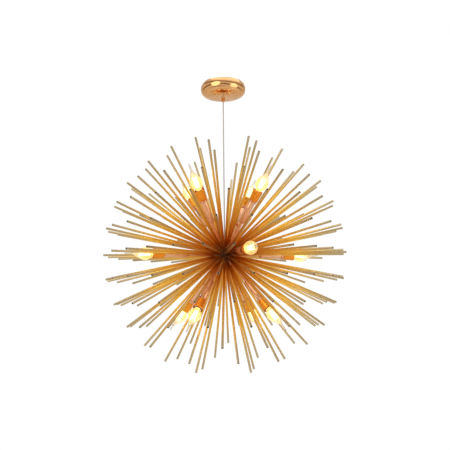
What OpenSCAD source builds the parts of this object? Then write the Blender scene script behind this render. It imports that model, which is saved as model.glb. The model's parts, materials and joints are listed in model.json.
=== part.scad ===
// Starburst pendant lamp: a hollow ball hub on a cord, with rings of tube rods and twelve
// lamp arms pointing straight out of it. Millimetres. The origin is on the ceiling, on the
// line that the lamp hangs along, and +Z is up.

/* [Burst] */
// Height of the ceiling above the centre of the burst
drop = 485; // [450:5:1500]
// Radius of the sphere that the rod tips lie on
burst_r = 330; // [275:5:400]
// Angle from one ring of rods to the next
ring_step = 12; // [12:0.25:12.5]
// Places on the ring at the equator
equator_places = 28; // [28:4:32]
// How much steeper the upper lamps point than the ring that they take their places from
upper_lamp_rise = 7.7; // [0:0.1:8]

/* [Rods and studs] */
// Outer diameter of a rod
rod_d = 6; // [5:0.1:7.2]
// Wall of a rod
rod_wall = 0.7; // [0.5:0.1:1]
// Solid root of a rod, which takes its stud
rod_plug_l = 14; // [12:1:20]
// Diameter of a stud
stud_d = 3; // [2.5:0.1:3.6]
// Depth of a stud in the hub's wall
stud_depth = 4; // [3:0.5:6]
// Depth of a stud in its rod
stud_grip = 10; // [6:1:11]
// Least gap between a rod's root and a lamp arm beside it
root_gap = 0.5; // [0.3:0.1:1.5]

/* [Hub] */
// Least metal between a stud and an arm's spigot in the hub's wall
hub_web = 0.3; // [0.3:0.1:1]
// Metal under the studs
hub_floor = 3.2; // [2.4:0.2:4]
// Height of the threaded lip that joins the two halves
lip_h = 3; // [2:0.5:4]
// Width and height of the wire connector inside
connector_size = [15, 13]; // [10:1:16]
// Diameter of the gland that the cord enters by
gland_d = 7; // [6:0.2:7.4]
// Length of the gland above the hub
gland_l = 11; // [8:1:16]

/* [Lamp arms] */
// Outer diameter of a lamp arm
arm_d = 8; // [7:0.1:9.6]
// Wall of a lamp arm
arm_wall = 1.2; // [0.8:0.1:1.5]
// Diameter of an arm's spigot in the hub
spigot_d = 4; // [3.6:0.1:4.4]
// Diameter of the wire in an arm
wire_d = 2; // [1.6:0.1:2.2]
// Distance from the centre of the burst to the outer end of a sleeve
sleeve_end_r = 164; // [130:1:180]
// Length of a sleeve
sleeve_l = 62; // [30:1:70]
// Outer diameter of a sleeve
sleeve_d = 18; // [15:0.5:21]
// Wall of a sleeve
sleeve_wall = 1.5; // [1:0.1:2]
// Outer diameter of the grooved ring
collar_d = 23; // [20:0.5:26]
// Length of the grooved ring
collar_l = 6; // [5:0.5:8]
// Diameter of the set screw in the grooved ring
collar_screw_d = 2; // [1.5:0.1:2.4]

/* [Lamp cups and bulbs] */
// Outer diameter of a cup at its floor
cup_base_d = 24; // [22:0.5:26]
// Outer diameter of a cup at its mouth
cup_mouth_d = 28; // [26:0.5:32]
// Length of a cup
cup_l = 30; // [26:1:36]
// Wall of a cup
cup_wall = 1; // [0.6:0.1:1.4]
// Diameter of a bulb's screw base
base_d = 14; // [12:0.5:14.5]
// Length of a bulb's screw base
base_l = 20; // [18:1:22]
// Wall of a lamp holder
holder_wall = 2.4; // [1.8:0.1:2.6]
// Widest diameter of a bulb's glass
bulb_d = 35; // [29:1:42]
// Length of a bulb's glass
bulb_l = 80; // [70:1:90]
// Wall of a bulb's glass
glass_wall = 0.8; // [0.5:0.1:1]

/* [Canopy] */
// Widest diameter of the canopy
canopy_d = 125; // [116:1:150]
// Height of the canopy
canopy_h = 48; // [42:1:60]
// Depth of the canopy's widest level below the ceiling
canopy_waist = 20; // [16:1:22]
// How far the canopy draws in from its widest level to the ceiling
canopy_tuck = 10; // [4:0.5:12]
// Wall of the canopy
canopy_wall = 1; // [0.8:0.1:2]
// How square the canopy's lower shoulder is: 2 is an ellipse
canopy_square = 2.5; // [2.4:0.1:4]
// Depth of the canopy's side screws below the ceiling
side_screw_z = 12; // [8:0.5:14]
// Diameter of the canopy's side screws
side_screw_d = 4; // [3:0.5:5]

/* [Bracket and cord] */
// Width of the ceiling bracket
bracket_w = 16; // [12:1:20]
// Thickness of the ceiling bracket
bracket_t = 2; // [1.5:0.1:3]
// Distance between the two ceiling screw holes
ceiling_pitch = 70; // [66:1:76]
// Diameter of the ceiling screw holes
ceiling_hole_d = 5; // [4:0.5:6]
// Diameter of the hole for the supply cable
supply_hole_d = 12; // [8:1:12]
// Turn of the bracket about the hanging line
bracket_turn = 62; // [0:1:90]
// Diameter of the cord
cord_d = 3; // [2.5:0.1:3.6]
// Diameter of the cord grip below the canopy
grip_d = 10; // [9:0.5:14]
// Length of the cord grip below the canopy
grip_l = 8; // [8:0.5:12]
// Thread diameter of the cord grip
grip_thread_d = 8; // [7:0.5:8.5]
// Largest swing of the cord that the grip's mouth is cut for
swing_max = 15; // [5:1:20]

/* [Hidden] */
$fn = 48;
fit = 0.05;
free = 0.3;
over = 1;

// Rings are numbered from -6 below to 6 above, and 0 is the equator.
ring_top = 6;
ring_drop = 4;
// Turn of each ring from the front, lowest ring first
ring_turns = [40, 11, -32, 13.5, 4.2, 12.3, 17, 11.7, 2.3, 11, -36, -13.5, 42];
lamp_rings = [4, 0, -4];
lamps_per_ring = 4;
lamp_count = lamps_per_ring * len(lamp_rings);

function ring_places(k) = equator_places - ring_drop * abs(k);
function ring_turn(k) = ring_turns[k + ring_top];
function has_lamps(k) = len(search(k, lamp_rings)) > 0;
function is_lamp(k, i) = has_lamps(k) && i % (ring_places(k) / lamps_per_ring) == 0;
function lamp_ring(i) = lamp_rings[floor(i / lamps_per_ring)];
function lamp_latitude(i) =
    ring_step * lamp_ring(i) + (lamp_ring(i) > 0 ? upper_lamp_rise : 0);
function lamp_azimuth(i) = ring_turn(lamp_ring(i)) + 360 / lamps_per_ring * (i % lamps_per_ring);

// Radius at which neighbours one ring apart are a given distance apart
function radius_for(gap) = gap / (2 * sin(ring_step / 2));

stud_seat_r = radius_for(stud_d / 2 + spigot_d / 2 + hub_web);
hub_r = stud_seat_r + stud_depth;
hub_cavity_r = stud_seat_r - hub_floor;
hub_split_z = -stud_seat_r * sin(ring_step) / 2;
arm_shoulder_r = radius_for(arm_d / 2 + stud_d / 2 + root_gap);
rod_root_r = radius_for(arm_d / 2 + rod_d / 2 + root_gap);

cup_floor_r = sleeve_end_r + collar_l;
nut_r = cup_floor_r + cup_wall;
nut_l = 3;
nut_flats = arm_d + 3;
arm_end_r = nut_r + nut_l;
holder_floor = 2.5;
holder_well_r = arm_end_r + free + holder_floor;
base_tip_r = holder_well_r + free;
base_rim_r = base_tip_r + base_l;
holder_end_r = base_rim_r - free;
holder_bore_d = base_d + 2 * free;
holder_d = holder_bore_d + 2 * holder_wall;
skirt_d = base_d + 3.4;
skirt_l = 4;
neck_d = skirt_d - 1.6;
glass_r = base_rim_r + 1.2;

grip_top_z = -canopy_h + canopy_wall;
grip_bottom_z = -canopy_h - grip_l;
pivot_z = grip_bottom_z + 3;
flex_d = cord_d;
flex_gap = 0.2;
cord_top_z = pivot_z - flex_d / 2 - flex_gap;
tail_bottom_z = pivot_z + flex_d / 2 + flex_gap;
grip_bore_d = cord_d + 2 * free;
grip_screw_d = 2.4;
grip_screw_z = (tail_bottom_z - canopy_h) / 2;
nut_af = grip_thread_d + 5;
nut_h = 5;
// The canopy's bottom is flat as far out as the grip and its nut reach.
canopy_flat_r = max(grip_d, nut_af / cos(30)) / 2 + 0.5;
gland_foot_z = hub_cavity_r - 1.5;
stop_top_z = gland_foot_z - free;
stop_l = 5;
stop_d = cord_d + 3;
cord_end_z = stop_top_z - stop_l;
block_size = [20, 16, 10];
block_x = -9;
tail_bend_r = 8;
tail_top_z = -bracket_t - block_size.z / 2;
tab_h = side_screw_z + 6;
// The tabs' corners stay clear of the canopy's rim.
tab_x = sqrt(pow(upper_r(canopy_d / 2, 0) - canopy_wall - 1, 2) - pow(bracket_w / 2, 2));
screw_head_d = side_screw_d * 1.9;
screw_head_h = side_screw_d * 0.55;
// The head's underside rests on the wall at its lower edge, where the canopy is widest.
screw_seat_r = upper_r(canopy_d / 2, side_screw_z + screw_head_d / 2) + fit;

// ---- placing ----

// Points the children's +Z out of the burst; azimuth 0 is the front, towards -Y
module radial(latitude, azimuth) {
    translate([0, 0, -drop])
        rotate([0, 0, azimuth])
            rotate([90 - latitude, 0, 0])
                children();
}

module on_rods(k) {
    for (i = [0 : ring_places(k) - 1])
        if (!is_lamp(k, i))
            radial(ring_step * k, ring_turn(k) + 360 / ring_places(k) * i) children();
}

module on_lamp(i) {
    radial(lamp_latitude(i), lamp_azimuth(i)) children();
}

module on_lamps() {
    for (i = [0 : lamp_count - 1])
        on_lamp(i) children();
}

// A cylinder from radius r1 to radius r2 along +Z
module span(d, r1, r2) {
    translate([0, 0, r1]) cylinder(d = d, h = r2 - r1);
}

// ---- ceiling and canopy ----

// Radius of the canopy at a depth, from the rim to its widest level
function upper_r(radius, depth) =
    radius - canopy_tuck * pow(max(0, 1 - depth / canopy_waist), 2);

// One corner of the canopy below its widest level, at t from 0 there to 90 at its flat bottom
function lower_point(radius, height, t) = [
    canopy_flat_r + (radius - canopy_flat_r) * pow(cos(t), 2 / canopy_square),
    -canopy_waist - (height - canopy_waist) * pow(sin(t), 2 / canopy_square)
];

module canopy_profile(radius, height, rim) {
    upper_steps = 6;
    lower_steps = 10;
    polygon(concat(
        [[0, rim], [upper_r(radius, 0), rim]],
        [
            for (i = [0 : upper_steps - 1])
                let (depth = canopy_waist * i / upper_steps) [upper_r(radius, depth), -depth]
        ],
        [for (i = [0 : lower_steps]) lower_point(radius, height, 90 * i / lower_steps)],
        [[0, -height]]
    ));
}

module on_side_screws() {
    for (side = [0, 180])
        rotate([0, 0, bracket_turn + side - 90])
            translate([0, 0, -side_screw_z])
                rotate([0, 90, 0])
                    children();
}

module canopy_cup() {
    color("goldenrod")
        difference() {
            rotate_extrude($fn = 96)
                difference() {
                    canopy_profile(canopy_d / 2, canopy_h, 0);
                    canopy_profile(canopy_d / 2 - canopy_wall, canopy_h - canopy_wall, over);
                }
            translate([0, 0, -canopy_h - over])
                cylinder(d = grip_thread_d + 2 * fit, h = canopy_wall + 2 * over);
            on_side_screws() cylinder(d = side_screw_d + 2 * free, h = canopy_d);
        }
}

module canopy_screws() {
    color("darkgoldenrod")
        on_side_screws() {
            span(side_screw_d, tab_x - 4, screw_seat_r);
            translate([0, 0, screw_seat_r])
                intersection() {
                    cylinder(d = screw_head_d, h = screw_head_h);
                    translate([0, 0, screw_head_h - screw_head_d * 0.75])
                        sphere(d = screw_head_d * 1.5);
                }
        }
}

module bracket_bar() {
    translate([-tab_x, -bracket_w / 2, -bracket_t])
        cube([2 * tab_x, bracket_w, bracket_t]);
    for (x = [-tab_x, tab_x - bracket_t])
        translate([x, -bracket_w / 2, -tab_h])
            cube([bracket_t, bracket_w, tab_h]);
}

module ceiling_bracket() {
    color("silver")
        difference() {
            rotate([0, 0, bracket_turn - 90]) bracket_bar();
            translate([0, 0, -bracket_t - over])
                cylinder(d = supply_hole_d, h = bracket_t + 2 * over);
            rotate([0, 0, bracket_turn - 90])
                for (x = [-ceiling_pitch / 2, ceiling_pitch / 2])
                    translate([x, 0, -bracket_t - over])
                        cylinder(d = ceiling_hole_d, h = bracket_t + 2 * over);
            on_side_screws() cylinder(d = side_screw_d + 2 * fit, h = canopy_d);
        }
}

module on_block() {
    rotate([0, 0, bracket_turn - 90])
        translate([block_x - block_size.x, -block_size.y / 2, -bracket_t - block_size.z])
            children();
}

module on_terminals() {
    for (y = [3, 8, 13])
        on_block() translate([block_size.x / 2, y, 0]) children();
}

module terminal_block() {
    color("white")
        difference() {
            on_block() cube(block_size);
            on_terminals() translate([0, 0, -over]) cylinder(d = 3 + 2 * fit, h = 5 + over);
        }
}

module terminal_screws() {
    color("silver")
        on_terminals() translate([0, 0, 0.5]) cylinder(d = 3, h = 4.5);
}

// ---- cord ----

module cord_grip() {
    // Both swings at once tilt the cord further than either alone.
    tilt = acos(pow(cos(swing_max), 2));
    mouth_r = cord_d / 2 / cos(tilt) + (pivot_z - grip_bottom_z) * tan(tilt) + free;
    color("goldenrod")
        difference() {
            union() {
                span(grip_d, grip_bottom_z, -canopy_h);
                span(grip_thread_d, -canopy_h - over, grip_top_z + nut_h + 2);
            }
            span(grip_bore_d, grip_bottom_z - over, grip_top_z + nut_h + 2 + over);
            translate([0, 0, grip_bottom_z])
                cylinder(r1 = mouth_r, r2 = grip_bore_d / 2, h = pivot_z - grip_bottom_z);
            translate([0, 0, grip_screw_z])
                rotate([-90, 0, 0])
                    cylinder(d = grip_screw_d + 2 * fit, h = grip_d);
        }
}

module grip_nut() {
    color("silver")
        translate([0, 0, grip_top_z])
            difference() {
                cylinder(d = nut_af / cos(30), h = nut_h, $fn = 6);
                translate([0, 0, -over])
                    cylinder(d = grip_thread_d + 2 * fit, h = nut_h + 2 * over);
            }
}

module grip_set_screw() {
    color("dimgray")
        translate([0, 0, grip_screw_z])
            rotate([-90, 0, 0])
                span(grip_screw_d, cord_d / 2 + fit, grip_d / 2 + 0.4);
}

module cord_tail() {
    color("lightgray") {
        span(cord_d, tail_bottom_z, tail_top_z - tail_bend_r);
        rotate([0, 0, bracket_turn - 90]) {
            translate([-tail_bend_r, 0, tail_top_z - tail_bend_r])
                rotate([90, 0, 0])
                    rotate_extrude(angle = 90)
                        translate([tail_bend_r, 0]) circle(d = cord_d);
            translate([block_x, 0, tail_top_z])
                rotate([0, 90, 0])
                    cylinder(d = cord_d, h = -block_x - tail_bend_r);
        }
    }
}

module cord_flex() {
    color("lightgray") translate([0, 0, pivot_z]) sphere(d = flex_d);
}

module cord() {
    color("lightgray") span(cord_d, cord_end_z - drop, cord_top_z);
}

module cord_stop() {
    color("silver")
        difference() {
            span(stop_d, stop_top_z - stop_l - drop, stop_top_z - drop);
            span(cord_d + 2 * fit, cord_end_z - over - drop, stop_top_z + over - drop);
        }
}

// ---- hub ----

module hub_holes() {
    for (k = [-ring_top : ring_top])
        on_rods(k) span(stud_d + 2 * fit, stud_seat_r, hub_r + over);
    on_lamps() span(spigot_d + 2 * fit, hub_cavity_r / 2, hub_r + over);
    translate([0, 0, -drop]) span(gland_d + 2 * fit, hub_cavity_r / 2, hub_r + over);
}

module hub_half(side) {
    z = side > 0 ? hub_split_z : -hub_r;
    h = side > 0 ? hub_r - hub_split_z : hub_r + hub_split_z;
    intersection() {
        sphere(r = hub_r);
        translate([0, 0, z]) cylinder(r = hub_r + over, h = h);
    }
}

lip_r = (hub_cavity_r + stud_seat_r) / 2;

module hub_upper() {
    color([0.13, 0.09, 0.06])
        difference() {
            translate([0, 0, -drop])
                difference() {
                    hub_half(1);
                    sphere(r = hub_cavity_r);
                    span(2 * lip_r + 2 * fit, hub_split_z - over, hub_split_z + lip_h + fit);
                }
            hub_holes();
        }
}

module hub_lower() {
    color([0.13, 0.09, 0.06])
        difference() {
            translate([0, 0, -drop])
                difference() {
                    union() {
                        hub_half(-1);
                        span(2 * lip_r, hub_split_z - over, hub_split_z + lip_h);
                    }
                    sphere(r = hub_cavity_r);
                }
            hub_holes();
        }
}

module hub_gland() {
    head_d = gland_d + 1.6;
    color("dimgray")
        translate([0, 0, -drop])
            difference() {
                union() {
                    span(gland_d, gland_foot_z, hub_r + over);
                    span(head_d, hub_r, hub_r + gland_l - 4);
                    translate([0, 0, hub_r + gland_l - 4])
                        cylinder(d1 = head_d, d2 = gland_d - 1, h = 4);
                }
                span(cord_d + 2 * free, gland_foot_z - over, hub_r + gland_l + over);
            }
}

module hub_connector() {
    color("white")
        translate([0, 0, -drop - connector_size[1] / 2])
            cylinder(d = connector_size[0], h = connector_size[1]);
}

module studs() {
    color("tan")
        for (k = [-ring_top : ring_top])
            on_rods(k) span(stud_d, stud_seat_r, rod_root_r + stud_grip, $fn = 24);
}

// ---- rods ----

module rod() {
    difference() {
        span(rod_d, rod_root_r, burst_r);
        span(rod_d - 2 * rod_wall, rod_root_r + rod_plug_l, burst_r + over);
        span(stud_d + 2 * fit, rod_root_r - over, rod_root_r + stud_grip);
    }
}

module rods(k) {
    color([0.85, 0.6, 0.3]) on_rods(k) rod();
}

// ---- lamp arms ----

module lamp_arms() {
    bore_d = arm_d - 2 * arm_wall;
    color([0.8, 0.5, 0.3])
        on_lamps()
            difference() {
                union() {
                    span(spigot_d, hub_cavity_r, arm_shoulder_r + over);
                    span(arm_d, arm_shoulder_r, arm_end_r);
                }
                span(wire_d + 0.6, hub_cavity_r - over, arm_shoulder_r + 2 * over);
                span(bore_d, arm_shoulder_r + arm_wall, arm_end_r + over);
            }
}

module lamp_wires() {
    color("ivory")
        on_lamps() span(wire_d, norm(connector_size) / 2 + 0.3, holder_well_r);
}

module lamp_sleeves() {
    start_r = sleeve_end_r - sleeve_l;
    color([0.85, 0.55, 0.4])
        on_lamps()
            difference() {
                span(sleeve_d, start_r, sleeve_end_r);
                span(sleeve_d - 2 * sleeve_wall, start_r + 3, sleeve_end_r + over);
                span(arm_d + 2 * fit, start_r - over, sleeve_end_r);
            }
}

module on_collar_screws() {
    on_lamps()
        translate([0, 0, sleeve_end_r + collar_l / 2])
            rotate([-90, 0, 0])
                children();
}

// Two thin flanges with a groove between them
module collar_profile() {
    flange = collar_l / 3.5;
    groove_r = collar_d / 2 - 1.6;
    bore_r = arm_d / 2 + fit;
    polygon([
        [bore_r, 0], [collar_d / 2, 0], [collar_d / 2, flange], [groove_r, flange],
        [groove_r, collar_l - flange], [collar_d / 2, collar_l - flange],
        [collar_d / 2, collar_l], [bore_r, collar_l]
    ]);
}

module lamp_collars() {
    color([0.85, 0.55, 0.4])
        difference() {
            on_lamps()
                translate([0, 0, sleeve_end_r]) rotate_extrude() collar_profile();
            on_collar_screws() span(collar_screw_d + 2 * fit, arm_d / 2 - 0.5, collar_d);
        }
}

module collar_screws() {
    color([0.2, 0.12, 0.08])
        on_collar_screws() span(collar_screw_d, arm_d / 2 + fit, collar_d / 2 + 0.6);
}

// ---- cups, holders and bulbs ----

module cup_profile() {
    floor_r = cup_base_d / 2;
    mouth_r = cup_mouth_d / 2;
    round_l = 1.5;
    bore_r = arm_d / 2 + fit;
    polygon([
        [bore_r, 0], [floor_r - round_l, 0], [floor_r, round_l], [mouth_r, cup_l],
        [mouth_r - cup_wall, cup_l], [floor_r - cup_wall, cup_wall + 0.6],
        [floor_r - cup_wall - 0.6, cup_wall], [bore_r, cup_wall]
    ]);
}

module lamp_cups() {
    color([0.95, 0.55, 0.1])
        on_lamps() translate([0, 0, cup_floor_r]) rotate_extrude() cup_profile();
}

module arm_nuts() {
    color("silver")
        on_lamps()
            difference() {
                translate([0, 0, nut_r])
                    cylinder(d = nut_flats / cos(30), h = nut_l, $fn = 6);
                span(arm_d + 2 * fit, nut_r - over, arm_end_r + over);
            }
}

module lamp_holders() {
    recess_d = nut_flats / cos(30) + 2 * free;
    color("ivory")
        on_lamps()
            difference() {
                span(holder_d, nut_r, holder_end_r);
                span(recess_d, nut_r - over, arm_end_r + free);
                span(wire_d + 2 * fit, nut_r, holder_well_r + over);
                span(holder_bore_d, holder_well_r, holder_end_r + over);
            }
}

// A contact, an insulator, the screw shell and the skirt that the glass neck sits in
module base_profile() {
    shell_r = base_d / 2;
    skirt_r = skirt_d / 2;
    pocket_r = neck_d / 2 + fit;
    seat = glass_r - base_tip_r;
    polygon([
        [0, 0], [2.2, 0], [2.4, 1.2], [shell_r - 2, 1.4], [shell_r - 0.8, 3], [shell_r, 3],
        [shell_r, base_l], [skirt_r, base_l], [skirt_r, base_l + skirt_l],
        [pocket_r, base_l + skirt_l], [pocket_r, seat], [0, seat]
    ]);
}

module bulb_base(i) {
    color("silver")
        on_lamp(i - 1) translate([0, 0, base_tip_r]) rotate_extrude() base_profile();
}

// Radius of the glass at height z above its neck: neck, belly, then a drawn-out flame tip
function glass_radius(z) =
    let (neck_l = skirt_l, belly = 0.28 * bulb_l, tip_l = 0.2 * bulb_l, tip_r = 2.4)
    z < neck_l ? neck_d / 2
    : z < belly ? neck_d / 2 + (bulb_d - neck_d) / 2 * sin(90 * (z - neck_l) / (belly - neck_l))
    : z < bulb_l - tip_l
        ? tip_r + (bulb_d / 2 - tip_r) * (1 + cos(180 * (z - belly) / (bulb_l - tip_l - belly))) / 2
        : tip_r * sqrt(max(0, 1 - pow((z - bulb_l + tip_l) / tip_l, 2)));

module bulb_glass(i) {
    steps = 13;
    inner_l = 0.94 * bulb_l;
    outer = [
        for (n = [0 : steps - 1])
            let (z = skirt_l + (bulb_l - skirt_l) * n / steps) [glass_radius(z), z]
    ];
    inner = [
        for (n = [steps : -1 : 0])
            let (z = skirt_l + (inner_l - skirt_l) * n / steps) [glass_radius(z) - glass_wall, z]
    ];
    neck_r = neck_d / 2;
    color([1, 0.95, 0.75], 0.6)
        on_lamp(i - 1)
            translate([0, 0, glass_r])
                rotate_extrude()
                    polygon(concat(
                        [[neck_r, 0]], outer, [[0, bulb_l], [0, inner_l]], inner,
                        [[neck_r - glass_wall, 0]]
                    ));
}

ceiling_bracket();
terminal_block();
terminal_screws();
canopy_cup();
canopy_screws();
cord_grip();
grip_nut();
grip_set_screw();
cord_tail();
cord_flex();
cord();
cord_stop();
hub_upper();
hub_lower();
hub_gland();
hub_connector();
studs();
rods(0);  // rods_equator
rods(1);  // rods_up_12
rods(2);  // rods_up_24
rods(3);  // rods_up_36
rods(4);  // rods_up_48
union() { rods(5); rods(6); }  // rods_up_cap
rods(-1);  // rods_down_12
rods(-2);  // rods_down_24
rods(-3);  // rods_down_36
rods(-4);  // rods_down_48
union() { rods(-5); rods(-6); }  // rods_down_cap
lamp_arms();
lamp_wires();
lamp_sleeves();
lamp_collars();
collar_screws();
lamp_cups();
arm_nuts();
lamp_holders();
bulb_base(1);  // bulb_base_01
bulb_base(2);  // bulb_base_02
bulb_base(3);  // bulb_base_03
bulb_base(4);  // bulb_base_04
bulb_base(5);  // bulb_base_05
bulb_base(6);  // bulb_base_06
bulb_base(7);  // bulb_base_07
bulb_base(8);  // bulb_base_08
bulb_base(9);  // bulb_base_09
bulb_base(10);  // bulb_base_10
bulb_base(11);  // bulb_base_11
bulb_base(12);  // bulb_base_12
bulb_glass(1);  // bulb_glass_01
bulb_glass(2);  // bulb_glass_02
bulb_glass(3);  // bulb_glass_03
bulb_glass(4);  // bulb_glass_04
bulb_glass(5);  // bulb_glass_05
bulb_glass(6);  // bulb_glass_06
bulb_glass(7);  // bulb_glass_07
bulb_glass(8);  // bulb_glass_08
bulb_glass(9);  // bulb_glass_09
bulb_glass(10);  // bulb_glass_10
bulb_glass(11);  // bulb_glass_11
bulb_glass(12);  // bulb_glass_12
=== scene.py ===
"""Looks of the starburst pendant lamp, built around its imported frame.

Every size is read from the frame: the hanging line and the centre of the burst come from its
joints, and each new piece takes its length and width from the node that it stands for.
"""

from __future__ import annotations

import json
import logging
import math
from dataclasses import dataclass, field
from enum import Enum
from typing import Callable, Sequence

import bmesh
import bpy
from mathutils import Matrix, Vector


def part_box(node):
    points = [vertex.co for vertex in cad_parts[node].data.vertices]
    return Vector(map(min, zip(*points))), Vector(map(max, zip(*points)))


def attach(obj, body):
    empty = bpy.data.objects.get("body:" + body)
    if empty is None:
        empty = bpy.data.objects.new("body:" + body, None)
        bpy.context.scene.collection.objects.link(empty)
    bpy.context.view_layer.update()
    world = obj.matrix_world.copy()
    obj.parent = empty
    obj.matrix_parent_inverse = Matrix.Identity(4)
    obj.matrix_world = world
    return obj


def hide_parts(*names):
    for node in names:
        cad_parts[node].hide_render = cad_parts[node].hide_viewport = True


LOG = logging.getLogger("starburst")
MM = 0.001

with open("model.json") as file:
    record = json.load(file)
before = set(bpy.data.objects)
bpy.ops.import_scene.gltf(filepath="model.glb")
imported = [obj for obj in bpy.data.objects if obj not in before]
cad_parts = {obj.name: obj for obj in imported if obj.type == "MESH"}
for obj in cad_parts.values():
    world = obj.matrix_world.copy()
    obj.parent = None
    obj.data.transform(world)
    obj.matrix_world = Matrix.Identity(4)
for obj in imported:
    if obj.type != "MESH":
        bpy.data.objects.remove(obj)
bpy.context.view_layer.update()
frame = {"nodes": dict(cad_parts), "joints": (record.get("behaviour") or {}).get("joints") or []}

Outline = Sequence[tuple[float, float]]
Colour = tuple[float, float, float]


class Slot(Enum):
    """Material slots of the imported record."""

    SATIN_GOLD = "satin_gold"
    DARK_GOLD = "dark_gold"
    POLISHED_GOLD = "polished_gold"
    ROSE_GOLD = "rose_gold"
    # The cup finish has a painted warm glow in its deep orange.
    CUP_GOLD_PAINTED_GLOW = "cup_gold"
    BLACK_STEEL = "black_steel"
    ZINC = "zinc"
    NICKEL = "nickel"
    CORD_GREY = "cord_grey"
    WIRE_SHEATH = "wire_sheath"
    WHITE_PLASTIC = "white_plastic"
    CLEAR_GLASS = "clear_glass"


class Facing(Enum):
    """Which way the faces of a lathed piece are shaded."""

    SMOOTH = math.radians(180)
    CREASED = math.radians(35)


# ---------------------------------------------------------------- shader building


class Graph:
    """A node tree that is built up node by node."""

    def __init__(self, tree: bpy.types.NodeTree) -> None:
        """Start on an empty tree."""
        self.tree = tree
        tree.nodes.clear()

    def add(self, kind: str, **settings: object) -> bpy.types.Node:
        """Add one node.

        Args:
            kind: The node's type, without the word ShaderNode where it is a shader node.
            settings: Attributes to set, such as operation or blend_type.

        Returns:
            The new node.
        """
        name = kind if kind.startswith("Node") else f"ShaderNode{kind}"
        node = self.tree.nodes.new(name)
        for key, value in settings.items():
            setattr(node, key, value)
        return node

    def link(self, source: bpy.types.NodeSocket, target: bpy.types.NodeSocket) -> None:
        """Join two sockets."""
        self.tree.links.new(source, target)

    def math(self, operation: str, first: object, second: object = None) -> bpy.types.NodeSocket:
        """Add a Math node.

        Args:
            operation: The name of the operation.
            first: A socket or a number.
            second: A socket, a number or nothing.

        Returns:
            The node's output.
        """
        node = self.add("Math", operation=operation)
        for socket, value in zip(node.inputs, (first, second)):
            self.feed(socket, value)
        return node.outputs[0]

    def vector(self, operation: str, first: object, second: object = None) -> bpy.types.Node:
        """Add a Vector Math node.

        Args:
            operation: The name of the operation.
            first: A socket or a vector.
            second: A socket, a vector or nothing.

        Returns:
            The node, whose outputs are Vector and Value.
        """
        node = self.add("VectorMath", operation=operation)
        for socket, value in zip(node.inputs, (first, second)):
            self.feed(socket, value)
        return node

    def scaled(self, source: bpy.types.NodeSocket, scale: object) -> bpy.types.NodeSocket:
        """Multiply a vector by a number or by a value socket."""
        node = self.add("VectorMath", operation="SCALE")
        self.link(source, node.inputs[0])
        self.feed(node.inputs["Scale"], scale)
        return node.outputs[0]

    def mix(self, factor: object, first: object, second: object) -> bpy.types.NodeSocket:
        """Mix two colours.

        Args:
            factor: A socket or a number; 0 gives the first colour.
            first: A socket or a colour of four numbers.
            second: A socket or a colour of four numbers.

        Returns:
            The mixed colour.
        """
        node = self.add("Mix", data_type="RGBA")
        for index, value in zip((0, 6, 7), (factor, first, second)):
            self.feed(node.inputs[index], value)
        return node.outputs[2]

    def ramp(self, source: bpy.types.NodeSocket, low: float, high: float,
             start: float = 0.0, end: float = 1.0) -> bpy.types.NodeSocket:
        """Turn a value's stretch from low to high into one from start to end, held at both."""
        node = self.add("MapRange", clamp=True)
        self.link(source, node.inputs["Value"])
        limits = {"From Min": low, "From Max": high, "To Min": start, "To Max": end}
        for key, value in limits.items():
            node.inputs[key].default_value = value
        return node.outputs[0]

    def feed(self, socket: bpy.types.NodeSocket, value: object) -> None:
        """Link a socket to another, or give it a plain value."""
        if value is None:
            return
        if isinstance(value, bpy.types.NodeSocket):
            self.link(value, socket)
        else:
            socket.default_value = value


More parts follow.
